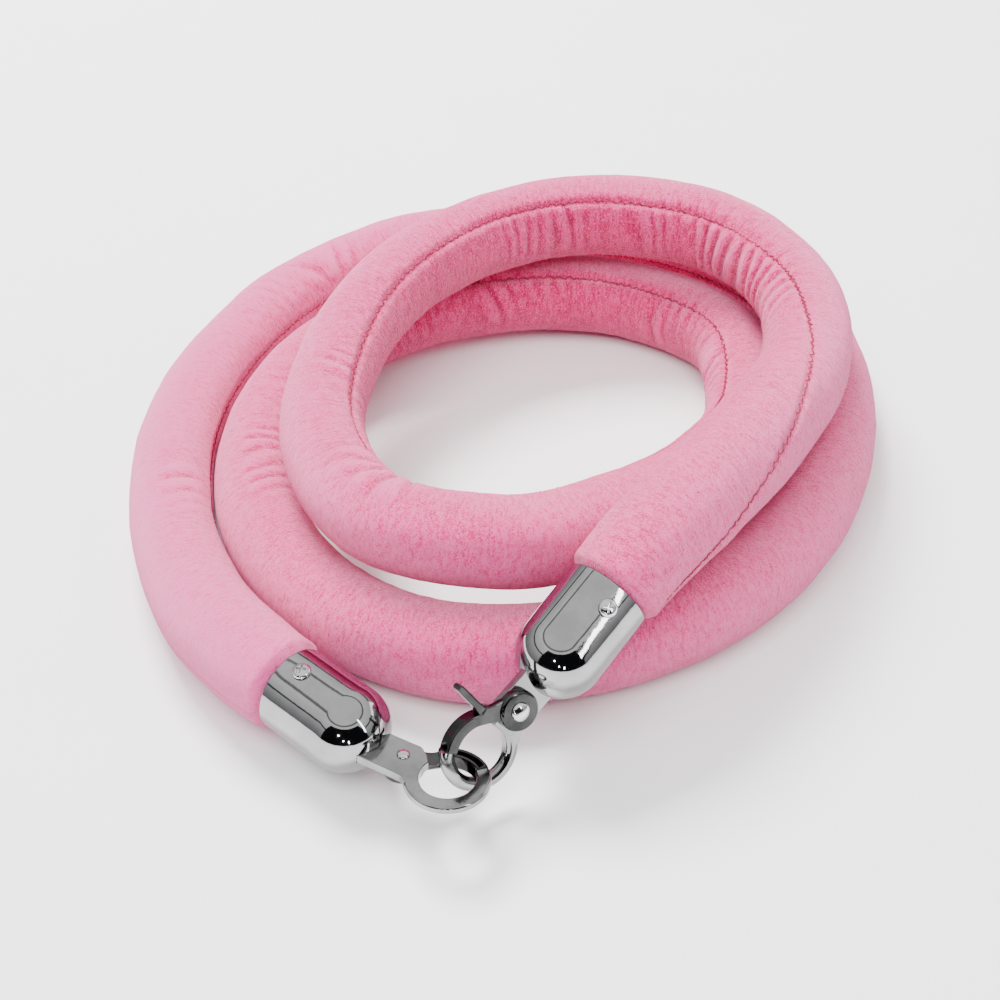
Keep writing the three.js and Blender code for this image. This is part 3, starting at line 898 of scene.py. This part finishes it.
def add_world():
    """A pale studio, greyer near the horizon, with two dark bands above and a dark doorway in front."""
    world = bpy.data.worlds.new("studio")
    scene.world = world
    world.use_nodes = True
    tree = world.node_tree
    way = node(tree, "ShaderNodeTexCoord").outputs["Generated"]
    parts = node(tree, "ShaderNodeSeparateXYZ", {0: way})
    up = parts.outputs[2]
    room = ramp(tree, maths(tree, "MULTIPLY_ADD", up, 0.5, 0.5), [
        (0.48, (0.25, 0.25, 0.26)),
        (0.58, (0.48, 0.48, 0.49)),
        (0.700, (0.80, 0.80, 0.80)),
        (0.706, (0.10, 0.10, 0.10)),
        (0.728, (0.10, 0.10, 0.10)),
        (0.734, (1.00, 1.00, 1.00)),
        (0.860, (1.30, 1.30, 1.30)),
        (0.866, (0.30, 0.30, 0.30)),
        (0.885, (0.30, 0.30, 0.30)),
        (0.891, (1.20, 1.20, 1.20)),
    ])
    ahead = maths(tree, "GREATER_THAN", maths(tree, "MULTIPLY", parts.outputs[1], -1.0), 0.52)
    doorway = maths(tree, "MULTIPLY", ahead, maths(tree, "LESS_THAN", up, 0.66))
    dark = (0.01, 0.01, 0.012, 1)
    colour = node(tree, "ShaderNodeMix", {"Factor": doorway, 6: room, 7: dark}, data_type="RGBA")
    back = tree.nodes["Background"]
    tree.links.new(colour.outputs[2], back.inputs["Color"])
    back.inputs["Strength"].default_value = 1.15


def add_lights():
    """The large soft lights shape the cloth; the small ones are what the bright metal shows."""
    key = add_light("key", (0.8, 0.6), 104, (-0.5, 1.0, 1.5))
    fill = add_light("fill", (1.6, 1.2), 42, (-0.3, -0.9, 1.7))
    for soft in (key, fill):
        soft.visible_glossy = False
    add_light("panel", (1.3, 0.7), 9, (2.0, 0.9, 0.85))
    hooks = (0, -0.1, 0.02)
    add_light("strip", (0.05, 0.6), 1.6, (0.6, -0.55, 0.55), hooks)
    add_light("spot_a", (0.05, 0.05), 0.5, (-0.10, -1.3, 0.28), hooks)
    add_light("spot_b", (0.05, 0.12), 0.8, (0.16, -1.3, 0.20), hooks)
    add_light("spot_c", (0.08, 0.04), 0.8, (-0.35, -1.2, 0.55), hooks)


# ---------------------------------------------------------------- putting it together

VELVET = velvet_material()
THREAD = thread_material()
CHROME = metal_material("chrome", 0.30, 0.37, 0.03, 0.08, 0.15)
NICKEL = metal_material("nickel", 0.24, 0.34, 0.08, 0.20, 0.35)
# A much darker copy of the nickel for the levers: painted shade standing in for the dark reflection on
# their faces.
SHADED_NICKEL = metal_material("shaded_nickel", 0.035, 0.08, 0.06, 0.14, 0.3)
# A lighter copy of the plated metal for the screws and rivets: painted reflection that makes them look
# bright.
LIT_METAL = metal_material("lit_metal", 0.55, 0.68, 0.08, 0.18, 0.2)
STEEL = metal_material("steel", 0.45, 0.6, 0.3, 0.45, 0.2)
WOOD = plain_material("wood", (0.42, 0.24, 0.10), (0.60, 0.38, 0.18), 0.7, 80)
FILLING = plain_material("filling", (0.70, 0.66, 0.55), (0.85, 0.82, 0.74), 0.95, 200)


def dress(obj, material):
    obj.data.materials.clear()
    obj.data.materials.append(material)
    return obj


dress(rope, VELVET)
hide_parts("velvet_sleeve")
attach(rope, "rope")
dress(stitches, THREAD)
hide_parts("seam_thread")
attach(stitches, "rope")

for side, end in ENDS.items():
    dress(build_cap(side, end), CHROME)
    dress(build_cap_screw(side, end, 1, 0), LIT_METAL)
    dress(build_cap_screw(side, end, 2, math.pi), LIT_METAL)
    dress(build_hook_body(side, end), NICKEL)
    dress(build_lever(side, end), SHADED_NICKEL)
    dress(build_rivet(side, end), LIT_METAL)
    dress(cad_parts[f"end_plug_{side}"], WOOD)
    dress(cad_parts[f"cuff_binding_{side}"], STEEL)
    dress(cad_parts[f"lever_spring_{side}"], STEEL)
    dress(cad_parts[f"tang_pin_{side}"], STEEL)
dress(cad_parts["rope_core"], FILLING)

add_floor()
add_world()
add_lights()
